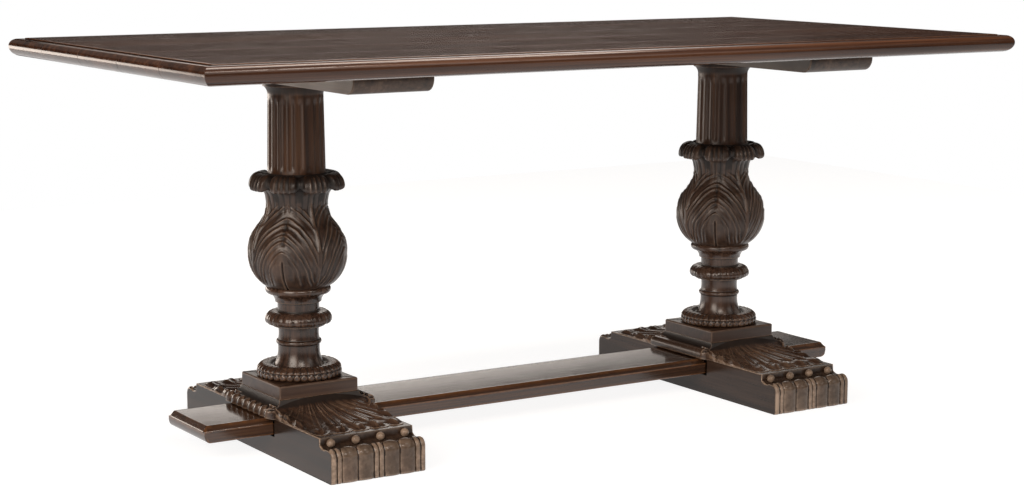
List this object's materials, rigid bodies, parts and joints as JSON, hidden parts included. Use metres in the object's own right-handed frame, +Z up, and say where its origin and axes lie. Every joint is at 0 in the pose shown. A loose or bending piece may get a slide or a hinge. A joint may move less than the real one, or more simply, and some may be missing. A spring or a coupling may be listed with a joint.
{
  "type": "dining table",
  "caption": "Long refectory dining table: planked top with a moulded edge on carved baluster pedestals with sled feet, joined by a low stretcher.",
  "frame": {"origin": "on the floor, under the middle of the top", "axes": "+X along the length of the table, +Y across it, +Z up"},
  "size_m": [1.79, 0.918, 0.762],
  "materials": {
    "top_wood": "dark stained hardwood, satin polish",
    "bearer_wood": "dark stained hardwood, dull polish",
    "turned_wood": "dark stained hardwood, turned and carved, wax polish",
    "carved_wood": "dark stained hardwood, carved, wax polish worn on the edges",
    "stretcher_wood": "dark stained hardwood, satin polish",
    "hidden_wood": "plain sawn hardwood",
    "screw_steel": "dulled steel"
  },
  "bodies": {
    "root": {"base_ring_left": "turned_wood", "base_ring_right": "turned_wood", "cleat_left": "bearer_wood", "cleat_right": "bearer_wood", "cleat_screws": "screw_steel", "foot_left": "carved_wood", "foot_right": "carved_wood", "foot_screws": "screw_steel", "plinth_left": "carved_wood", "plinth_right": "carved_wood", "reel_left": "turned_wood", "reel_right": "turned_wood", "saddle_left": "carved_wood", "saddle_right": "carved_wood", "shaft_left": "turned_wood", "shaft_right": "turned_wood", "stretcher": "stretcher_wood", "top_board_1": "top_wood", "top_board_2": "top_wood", "top_board_3": "top_wood", "top_board_4": "top_wood", "top_board_5": "top_wood", "top_splines": "hidden_wood", "vase_left": "turned_wood", "vase_right": "turned_wood"}
  },
  "joints": []
}
